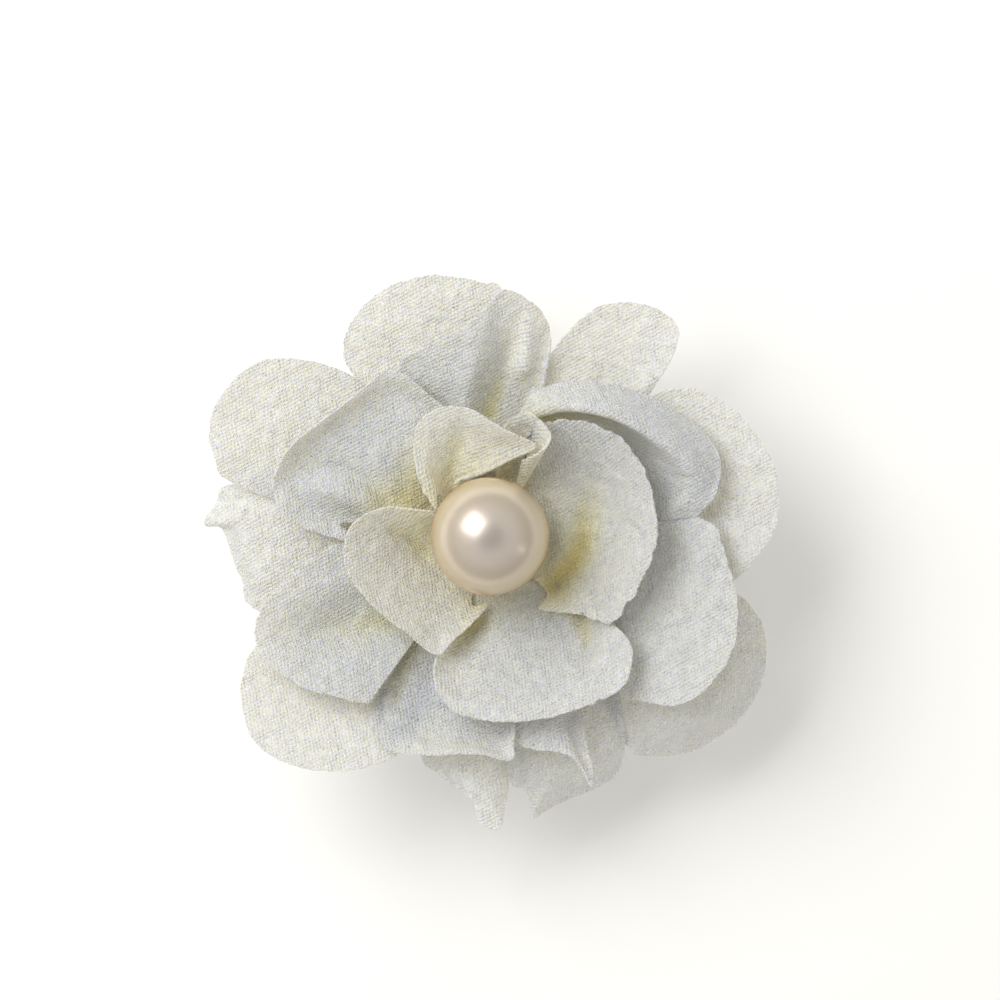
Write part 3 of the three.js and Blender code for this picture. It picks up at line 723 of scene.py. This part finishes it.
# %% Bottom layer
BOTTOM_LOBES = [
    {
        "ring": (20, 80),
        "edge": [(16.0, 10.0, 9.0), (19.4, 17.4, 10.8), (21.4, 20.6, 11.8), (22.5, 23.8, 12.0),
                 (22.0, 25.6, 11.6), (19.8, 27.2, 11.2), (16.2, 27.9, 10.9), (13.0, 27.4, 10.7),
                 (9.9, 25.0, 10.5), (7.1, 21.3, 10.2), (4.6, 14.0, 9.2)],
        "cup": 0.5,
        "dome": -0.3,
    },
    {
        "ring": (80, 140),
        "edge": [(4.0, 18.0, 9.4), (1.6, 29.0, 10.8), (-0.8, 30.2, 11.2), (-4.7, 31.0, 11.6),
                 (-7.9, 31.0, 11.8), (-11.9, 29.8, 11.8), (-15.0, 27.6, 11.4), (-17.0, 24.8, 11.0),
                 (-17.5, 22.4, 10.6), (-16.7, 19.8, 10.2), (-10.0, 12.0, 9.0)],
        "cup": 0.5,
        "dome": -0.2,
    },
    {
        "ring": (140, 225),
        "edge": [(-18.0, 8.0, 9.6), (-31.0, 6.2, 9.4), (-32.6, 4.2, 9.3), (-34.2, 1.4, 9.6),
                 (-32.0, 1.0, 9.0), (-31.1, -1.8, 8.9), (-29.7, -5.2, 9.0), (-27.7, -8.9, 9.2),
                 (-16.0, -10.0, 9.0)],
        "courses": [[(-16.0, 8.0, 9.8), (-23.0, 5.4, 10.6), (-25.6, 1.4, 11.0), (-24.4, -4.0, 10.6),
                     (-16.4, -8.4, 9.4)]],
        "ragged": 1.4,
    },
    {
        "ring": (225, 290),
        "edge": [(-8.0, -18.0, 8.8), (-8.4, -26.0, 9.2), (-6.7, -28.2, 9.2), (-4.0, -30.1, 9.2),
                 (-2.0, -31.8, 9.6), (-0.9, -34.5, 10.8), (1.2, -35.0, 11.0), (1.7, -32.9, 10.0),
                 (2.3, -29.2, 9.4), (3.0, -18.0, 8.8)],
        "courses": [[(-6.0, -16.0, 9.2), (-6.6, -22.0, 10.2), (-2.6, -25.0, 10.6), (1.0, -22.0, 10.0),
                     (1.6, -16.0, 9.2)]],
        "ragged": 1.6,
    },
    {
        "ring": (290, 380),
        "edge": [(10.0, -16.0, 8.6), (16.4, -25.2, 6.2), (18.6, -26.4, 5.6), (21.7, -26.6, 5.0),
                 (25.7, -25.4, 4.8), (29.2, -23.0, 5.2), (31.7, -19.8, 6.0), (33.0, -16.3, 7.2),
                 (33.1, -12.7, 8.6), (31.9, -9.4, 10.0), (29.1, -6.6, 10.2), (20.0, -2.0, 9.4)],
        "courses": [[(9.6, -15.0, 8.8), (15.0, -19.4, 9.4), (21.0, -19.2, 10.2), (25.4, -15.0, 10.8),
                     (25.6, -9.0, 10.6), (18.0, -3.4, 9.4)]],
        "ragged": 1.2,
    },
]

print(len(BOTTOM_LOBES), "lobes in the bottom layer")

# %% [markdown]
# ## Sewing the layers together
# The stitch holds the four layers together at their rings, and each lies on the ones below. So they are
# made from the bottom up, and each lobe is laid over the layers already made. The two numbers of each
# layer are the share of its heights that it keeps under the stitch's pull, and where its noise starts.

# %% Layers
RING_LIFT = 0.3  # half the thickness of the CAD layer
LAYERS = {
    "petal_layer_bottom": (BOTTOM_LOBES, 1.0, 100),
    "petal_layer_lower": (LOWER_LOBES, 1.0, 200),
    "petal_layer_middle": (MIDDLE_LOBES, 0.95, 300),
    "petal_layer_inner": (INNER_LOBES, 0.96, 400),
}
layers_below = []
for node, (lobes, stand, seed) in LAYERS.items():
    low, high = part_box(node)
    ring_z = low[2] / MM + RING_LIFT
    sheet, area = petal_sheet("satin_" + node, ring_z, lobes, stand, seed, layers_below)
    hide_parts(node)
    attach(sheet, FLOWER)

# %% [markdown]
# ## Finishing a piece
# Every new piece ends the same way: its place goes into its mesh, it gets its material, it stands for
# a CAD node, and it rides on that node's body. One function does that, and another makes the smooth
# copies of CAD pieces whose shape is already right and only needs softened edges.

# %% Finishing helpers
def finish_piece(piece, name, material, node, body=FLOWER):
    piece.name = name
    select_only(piece)
    bpy.ops.object.transform_apply(location=True, rotation=True, scale=True)
    piece.data.materials.clear()
    piece.data.materials.append(material)
    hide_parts(node)
    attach(piece, body)
    print(name, len(piece.data.polygons), "faces")
    return piece


def apply_modifier(piece, kind, **settings):
    select_only(piece)
    modifier = piece.modifiers.new(kind.lower(), kind)
    for key, value in settings.items():
        setattr(modifier, key, value)
    bpy.ops.object.modifier_apply(modifier=modifier.name)


def merged_copy(node):
    """A copy of a CAD node's mesh, its loose triangles joined and its flat faces made whole."""
    piece = bpy.data.objects.new(node + "_copy", bpy.data.objects[node].data.copy())
    scene.collection.objects.link(piece)
    select_only(piece)
    bpy.ops.object.mode_set(mode="EDIT")
    bpy.ops.mesh.select_all(action="SELECT")
    bpy.ops.mesh.remove_doubles(threshold=0.001 * MM)
    bpy.ops.mesh.dissolve_limited(angle_limit=math.radians(1))
    bpy.ops.object.mode_set(mode="OBJECT")
    return piece


# %% [markdown]
# ## The pearl
# The bead is an ABS ball, drilled from below for its peg and dipped in pearl lacquer. The lacquer holds
# mica flakes in clear coats, so it is part mirror and part milk. It is a sphere cut off where the drill
# enters, with the cut edge drawn up into the hole.

# %% Pearl
pearl_low, pearl_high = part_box("pearl_bead")
PEARL_RADIUS = (pearl_high[0] - pearl_low[0]) / 2
PEARL_Z = pearl_high[2] - PEARL_RADIUS
HOLE = 0.9 * MM
HOLE_DEPTH = 5.5 * MM


def pearl_lacquer():
    material = new_material("pearlescent_lacquer_on_abs")
    facing = add_node(material, "LayerWeight", Blend=0.35).outputs["Facing"]
    tint = add_node(material, "ValToRGB", Fac=facing)
    tint.color_ramp.elements[0].color = linear("#CCC2BA")
    tint.color_ramp.elements[1].color = linear("#D9A75E")
    tint.color_ramp.elements.new(0.45).color = linear("#E2D2B4")
    surface = add_node(material, "BsdfPrincipled", Base_Color=tint.outputs["Color"], Metallic=0.45,
                       Roughness=0.31, Coat_Weight=0.7, Coat_Roughness=0.18, Subsurface_Weight=0.2,
                       Subsurface_Radius=(2 * MM, 1.6 * MM, 1.0 * MM))
    add_node(material, "OutputMaterial", Surface=surface.outputs["BSDF"])
    return material


deselect_all()
bpy.ops.mesh.primitive_uv_sphere_add(segments=96, ring_count=64, radius=PEARL_RADIUS,
                                     location=(0, 0, PEARL_Z))
pearl = bpy.context.object
drill_z = PEARL_Z - math.sqrt(PEARL_RADIUS**2 - HOLE**2)
bpy.ops.object.mode_set(mode="EDIT")
bpy.ops.mesh.select_all(action="SELECT")
bpy.ops.mesh.bisect(plane_co=(0, 0, drill_z), plane_no=(0, 0, 1), clear_inner=True)
bpy.ops.mesh.extrude_region_move(TRANSFORM_OT_translate={"value": (0, 0, HOLE_DEPTH)})
bpy.ops.mesh.edge_face_add()
bpy.ops.mesh.select_all(action="SELECT")
bpy.ops.mesh.normals_make_consistent(inside=False)
bpy.ops.object.mode_set(mode="OBJECT")
bpy.ops.object.shade_smooth_by_angle(angle=math.radians(40))
finish_piece(pearl, "lacquered_pearl", pearl_lacquer(), "pearl_bead")

# %% [markdown]
# ## Nickel-plated steel
# The clip is stamped from spring steel and barrel-plated with nickel. Tumbling in the barrel leaves a
# soft shine with fine scratches every way, so the roughness changes in small patches.

# %% Metals
SCRATCH = 0.25 * MM
SCRATCH_DEPTH = 0.004 * MM
SCRATCH_STRETCH = (0.12, 1, 1)
TUMBLE_PATCH = 3 * MM


def plated_metal(name, colour, roughness, uneven):
    material = new_material(name)
    place = add_node(material, "TexCoord").outputs["Object"]
    patches = add_node(material, "TexNoise", Vector=place, Scale=1 / TUMBLE_PATCH, Detail=4.0)
    stretched = add_node(material, "Mapping", Vector=place, Scale=SCRATCH_STRETCH)
    scratches = add_node(material, "TexNoise", Vector=stretched.outputs["Vector"],
                         Scale=1 / SCRATCH, Detail=3.0)
    rough = add_node(material, "MapRange", Value=patches.outputs["Fac"], From_Min=0.3, From_Max=0.7,
                     To_Min=roughness - uneven, To_Max=roughness + uneven)
    bump = add_node(material, "Bump", Strength=0.6, Distance=SCRATCH_DEPTH,
                    Height=scratches.outputs["Fac"])
    surface = add_node(material, "BsdfPrincipled", Base_Color=linear(colour), Metallic=1.0,
                       Roughness=rough.outputs["Result"], Normal=bump.outputs["Normal"])
    add_node(material, "OutputMaterial", Surface=surface.outputs["BSDF"])
    return material


nickel = plated_metal("nickel_plated_stamped_steel", "#CFCAC0", 0.24, 0.08)
spring_wire = plated_metal("drawn_spring_wire", "#A7A6A4", 0.32, 0.06)
print("made", nickel.name, "and", spring_wire.name)

# %% [markdown]
# ## The clip
# The two stampings already have the right shape in CAD, with square edges. A stamping press and the
# plating barrel round every edge a little, and that rounding is what catches the light, so each copy
# gets a narrow bevel.

# %% Clip arms and pin
PLATED_EDGE = 0.09 * MM
for node, body in (("clip_upper_arm", FLOWER), ("clip_lower_jaw", JAW), ("hinge_pin", FLOWER)):
    stamping = merged_copy(node)
    apply_modifier(stamping, "BEVEL", width=PLATED_EDGE, segments=2, limit_method="ANGLE",
                   angle_limit=math.radians(35), use_clamp_overlap=True)
    bpy.ops.object.shade_smooth_by_angle(angle=math.radians(40))
    finish_piece(stamping, "plated_" + node, nickel, node, body)

# %% [markdown]
# The spring is three and a half turns of hard wire on the pin. One end presses the upper arm and the
# other the tail, and the turns wind up as the clip opens. It is a curve with a round section, made a
# mesh.

# %% Spring
PIVOT = centre_of("hinge_pin")
WIRE = 0.3 * MM
COIL_RADIUS = 1.45 * MM
COIL_HALF = 1.6 * MM
TURNS = 3.5
POINTS_PER_TURN = 36
LEG = 8.5 * MM
TAIL_TURN = 3.2 * MM  # where the second leg comes down onto the tail
TAIL_START = (2 * MM, -1.7 * MM)  # where the tail bends away from the seat, from the pivot
TAIL_SLOPE = -4.8 / 12
BEND = (1.5 * MM, COIL_HALF, -COIL_RADIUS - 0.02 * MM)
BEND_STEPS = 20


def tail_height(x):
    return TAIL_START[1] + TAIL_SLOPE * (x - TAIL_START[0])


def tube(name, points, radius, sides=4):
    """A round wire along the points, as a mesh with closed ends."""
    data = bpy.data.curves.new(name, "CURVE")
    data.dimensions = "3D"
    data.bevel_depth = radius
    data.bevel_resolution = sides
    data.use_fill_caps = True
    line = data.splines.new("POLY")
    line.points.add(len(points) - 1)
    for spot, place in zip(line.points, points):
        spot.co = (*place, 1)
    wire = bpy.data.objects.new(name, data)
    scene.collection.objects.link(wire)
    select_only(wire)
    bpy.ops.object.convert(target="MESH")
    bpy.ops.object.shade_smooth_by_angle(angle=math.radians(50))
    return bpy.context.object


coil = [(LEG, -COIL_HALF, COIL_RADIUS), (LEG / 2, -COIL_HALF, COIL_RADIUS)]
for step in range(int(TURNS * POINTS_PER_TURN) + 1):
    turn = math.pi / 2 + 2 * math.pi * step / POINTS_PER_TURN
    across = -COIL_HALF + 2 * COIL_HALF * step / (TURNS * POINTS_PER_TURN)
    coil.append((COIL_RADIUS * math.cos(turn), across, COIL_RADIUS * math.sin(turn)))
bend = np.array([coil[-1], BEND, (TAIL_TURN, COIL_HALF, tail_height(TAIL_TURN)),
                 (LEG, COIL_HALF, tail_height(LEG))])
coil += [tuple(p) for p in smooth_between(bend, np.linspace(0, 1, BEND_STEPS))[1:]]
coil_points = [Vector(p) + Vector((PIVOT.x, 0, PIVOT.z)) for p in coil]
spring = tube("hinge_torsion_spring", coil_points, WIRE)
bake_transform(spring)
spring.data.materials.append(spring_wire)
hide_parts("hinge_spring")
print("spring", len(spring.data.polygons), "faces")

# %% [markdown]
# ## Shank and stitch
# A small eye peg is glued into the pearl. The eye is a torus and the peg a short cylinder, joined by a
# boolean as if they were one casting.

# %% Shank
shank_low, shank_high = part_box("pearl_shank")
EYE_WIRE = 0.3 * MM
EYE_RADIUS = 0.9 * MM
PEG_RADIUS = 0.5 * MM
eye_z = shank_low[2] + EYE_RADIUS + EYE_WIRE
deselect_all()
bpy.ops.mesh.primitive_torus_add(major_radius=EYE_RADIUS, minor_radius=EYE_WIRE, major_segments=48,
                                 minor_segments=16, location=(0, 0, eye_z),
                                 rotation=(math.pi / 2, 0, 0))
eye = bpy.context.object
peg_bottom = eye_z + EYE_RADIUS
deselect_all()
bpy.ops.mesh.primitive_cylinder_add(vertices=32, radius=PEG_RADIUS, depth=shank_high[2] - peg_bottom,
                                    location=(0, 0, (shank_high[2] + peg_bottom) / 2))
peg = bpy.context.object
apply_modifier(peg, "BEVEL", width=0.08 * MM, segments=2, limit_method="ANGLE")
apply_modifier(eye, "BOOLEAN", operation="UNION", object=peg, solver="EXACT")
bpy.data.objects.remove(peg)
bpy.ops.object.shade_smooth_by_angle(angle=math.radians(40))
finish_piece(eye, "eye_peg", nickel, "pearl_shank")

# %% [markdown]
# A stitch of two-ply thread goes through the eye and down through the four layers of cloth to a knot.
# The thread is two strands wound round each other along one path, and the knot is a flattened ball.

# %% Thread
PLY_RADIUS = 0.13 * MM
PLY_OFFSET = 0.11 * MM
PLY_PITCH = 1.1 * MM
PLY_STEPS = 160
THREAD_SPREAD = 0.75 * MM
THREAD_FIBRE = 0.12 * MM
KNOT_WIDTH = 1.6 * MM
KNOT_HEIGHT = 0.65 * MM
CREST_ROOM = 0.25 * MM  # room for the two plies over the path, at the top of the stitch
thread_low, thread_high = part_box("sewing_thread")
knot_z = thread_low[2] + KNOT_HEIGHT
crest = thread_high[2] - CREST_ROOM
STITCH = np.array([(0, -THREAD_SPREAD, knot_z), (0, -THREAD_SPREAD, (knot_z + crest) / 2),
                   (0, -THREAD_SPREAD, crest - THREAD_SPREAD), (0, 0, crest),
                   (0, THREAD_SPREAD, crest - THREAD_SPREAD),
                   (0, THREAD_SPREAD, (knot_z + crest) / 2), (0, THREAD_SPREAD, knot_z)])


def polyester_thread():
    material = new_material("spun_polyester_thread")
    place = add_node(material, "TexCoord").outputs["Object"]
    fibres = add_node(material, "TexNoise", Vector=place, Scale=1 / THREAD_FIBRE, Detail=3.0)
    tint = add_node(material, "ValToRGB", Fac=fibres.outputs["Fac"])
    tint.color_ramp.elements[0].color = linear("#D9D3C0")
    tint.color_ramp.elements[1].color = linear("#F6F2E4")
    bump = add_node(material, "Bump", Strength=0.5, Distance=0.03 * MM, Height=fibres.outputs["Fac"])
    surface = add_node(material, "BsdfPrincipled", Base_Color=tint.outputs["Color"], Roughness=0.6,
                       Sheen_Weight=0.4, Normal=bump.outputs["Normal"])
    add_node(material, "OutputMaterial", Surface=surface.outputs["BSDF"])
    return material


def ply(phase):
    """One strand of the thread, wound round the stitch's path."""
    path = smooth_between(STITCH, np.linspace(0, 1, PLY_STEPS))
    ahead = np.gradient(path, axis=0)
    ahead /= np.linalg.norm(ahead, axis=1, keepdims=True)
    side = np.cross(ahead, (1, 0, 0))
    gone = np.concatenate([[0], np.cumsum(np.linalg.norm(np.diff(path, axis=0), axis=1))])
    turn = 2 * np.pi * gone / PLY_PITCH + phase
    points = path + PLY_OFFSET * (np.cos(turn)[:, None] * np.array((1, 0, 0)) +
                                  np.sin(turn)[:, None] * side)
    return tube("ply", points, PLY_RADIUS, 2)


first_ply, second_ply = ply(0), ply(math.pi)
deselect_all()
bpy.ops.mesh.primitive_ico_sphere_add(subdivisions=4, radius=1, location=(0, 0, knot_z),
                                      scale=(KNOT_WIDTH, KNOT_WIDTH, KNOT_HEIGHT))
knot = bpy.context.object
bpy.ops.object.transform_apply(location=True, rotation=True, scale=True)
bpy.ops.object.shade_smooth()
for strand in (first_ply, second_ply):
    strand.select_set(True)
bpy.context.view_layer.objects.active = knot
bpy.ops.object.join()
finish_piece(knot, "stitch_and_knot", polyester_thread(), "sewing_thread")

# %% [markdown]
# ## Felt
# The felt disc is cut from wool-blend felt, a mat of crossed fibres with a soft cut edge. It is a disc
# with a rounded rim, remeshed finely and pushed about by noise.

# %% Felt
FELT_FIBRE = 0.22 * MM
FIBRE_STRETCH = (0.15, 1, 1)
FIBRE_TURNS = (0.3, 1.4, 2.5)  # radians
FUZZ_ROOM = 0.1 * MM
FUZZ_SIZE = 0.5 * MM
FUZZ_HEIGHT = 0.18 * MM
FELT_RIM = 0.4 * MM
FELT_STEP = 0.3 * MM


def wool_felt():
    material = new_material("wool_blend_felt")
    place = add_node(material, "TexCoord").outputs["Object"]
    mat = 0.0
    for angle in FIBRE_TURNS:
        turned = add_node(material, "Mapping", Vector=place, Rotation=(0, 0, angle),
                          Scale=FIBRE_STRETCH)
        fibre = add_node(material, "TexNoise", Vector=turned.outputs["Vector"],
                         Scale=1 / FELT_FIBRE, Detail=2.0, Distortion=0.8)
        mat = add_node(material, "Math", {"operation": "MAXIMUM"}, Value=mat,
                       Value_001=fibre.outputs["Fac"]).outputs["Value"]
    tint = add_node(material, "ValToRGB", Fac=mat)
    tint.color_ramp.elements[0].position = 0.4
    tint.color_ramp.elements[0].color = linear("#D5CFC0")
    tint.color_ramp.elements[1].position = 0.8
    tint.color_ramp.elements[1].color = linear("#F1EDE2")
    bump = add_node(material, "Bump", Strength=0.9, Distance=0.12 * MM, Height=mat)
    surface = add_node(material, "BsdfPrincipled", Base_Color=tint.outputs["Color"], Roughness=0.95,
                       Sheen_Weight=0.3, Normal=bump.outputs["Normal"])
    add_node(material, "OutputMaterial", Surface=surface.outputs["BSDF"])
    return material


def clouds(name, size):
    texture = bpy.data.textures.new(name, "CLOUDS")
    texture.noise_scale = size
    return texture


felt_low, felt_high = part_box("felt_disc")
FELT_RADIUS = (felt_high[0] - felt_low[0]) / 2
deselect_all()
bpy.ops.mesh.primitive_cylinder_add(vertices=128, radius=FELT_RADIUS - FUZZ_ROOM,
                                    depth=felt_high[2] - felt_low[2] - FUZZ_ROOM,
                                    location=centre_of("felt_disc"))
felt = bpy.context.object
apply_modifier(felt, "BEVEL", width=FELT_RIM, segments=4, limit_method="ANGLE")
apply_modifier(felt, "REMESH", mode="VOXEL", voxel_size=FELT_STEP)
apply_modifier(felt, "DISPLACE", texture=clouds("felt_fuzz", FUZZ_SIZE), strength=FUZZ_HEIGHT,
               mid_level=0.5, texture_coords="LOCAL")
bpy.ops.object.shade_smooth()
finish_piece(felt, "felt_backing", wool_felt(), "felt_disc")

# %% [markdown]
# ## Glue
# Hot glue was pressed flat while soft, so it keeps a milky, uneven shine. Round the stitch it is a ring,
# made from a flattened torus. Under the clip it is a long pad, made from a cylinder whose two halves are
# moved apart. Each is then pushed about by broad noise.

# %% Glue
GLUE_CLOUD = 2.0 * MM


def hot_melt():
    material = new_material("set_hot_melt_glue")
    place = add_node(material, "TexCoord").outputs["Object"]
    cloud = add_node(material, "TexNoise", Vector=place, Scale=1 / GLUE_CLOUD, Detail=3.0)
    tint = add_node(material, "ValToRGB", Fac=cloud.outputs["Fac"])
    tint.color_ramp.elements[0].color = linear("#DCCFA6")
    tint.color_ramp.elements[1].color = linear("#F0E8CE")
    rough = add_node(material, "MapRange", Value=cloud.outputs["Fac"], To_Min=0.2, To_Max=0.45)
    surface = add_node(material, "BsdfPrincipled", Base_Color=tint.outputs["Color"],
                       Roughness=rough.outputs["Result"], IOR=1.48, Subsurface_Weight=0.6,
                       Subsurface_Scale=1.0, Subsurface_Radius=(1.5 * MM, 1.1 * MM, 0.5 * MM))
    add_node(material, "OutputMaterial", Surface=surface.outputs["BSDF"])
    return material


glue = hot_melt()
ring_low, ring_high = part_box("flower_glue")
RING_INNER = 3.2 * MM
ring_middle = (ring_high[0] + RING_INNER) / 2
ring_half = (ring_high[0] - RING_INNER) / 2
deselect_all()
bpy.ops.mesh.primitive_torus_add(major_radius=ring_middle, minor_radius=ring_half,
                                 major_segments=120, minor_segments=32,
                                 location=centre_of("flower_glue"))
bead = bpy.context.object
bead.scale.z = (ring_high[2] - ring_low[2]) / 2 / ring_half
bpy.ops.object.transform_apply(location=True, rotation=True, scale=True)
apply_modifier(bead, "DISPLACE", texture=clouds("glue_waves", 2.5 * MM), strength=0.5 * MM,
               mid_level=0.8, texture_coords="LOCAL")
bpy.ops.object.shade_smooth()
finish_piece(bead, "flower_glue_bead", glue, "flower_glue")

pad_low, pad_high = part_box("clip_glue")
pad_size = Vector(pad_high) - Vector(pad_low)
PAD_RADIUS = pad_size.y / 2
deselect_all()
bpy.ops.mesh.primitive_cylinder_add(vertices=64, radius=PAD_RADIUS, depth=pad_size.z,
                                    location=centre_of("clip_glue"))
pad = bpy.context.object
bpy.ops.object.transform_apply(location=True, rotation=True, scale=True)
for side in (-1, 1):
    bpy.ops.object.mode_set(mode="EDIT")
    bpy.ops.mesh.select_all(action="DESELECT")
    bpy.ops.object.mode_set(mode="OBJECT")
    for vertex in pad.data.vertices:
        vertex.select = vertex.co.x * side > WELD * MM
    bpy.ops.object.mode_set(mode="EDIT")
    bpy.ops.transform.translate(value=(side * (pad_size.x / 2 - PAD_RADIUS), 0, 0))
    bpy.ops.object.mode_set(mode="OBJECT")
apply_modifier(pad, "REMESH", mode="VOXEL", voxel_size=0.18 * MM)
apply_modifier(pad, "DISPLACE", texture=clouds("pad_waves", 2.0 * MM), strength=0.2 * MM,
               mid_level=0.8, texture_coords="LOCAL")
bpy.ops.object.shade_smooth()
finish_piece(pad, "clip_glue_pad", glue, "clip_glue")
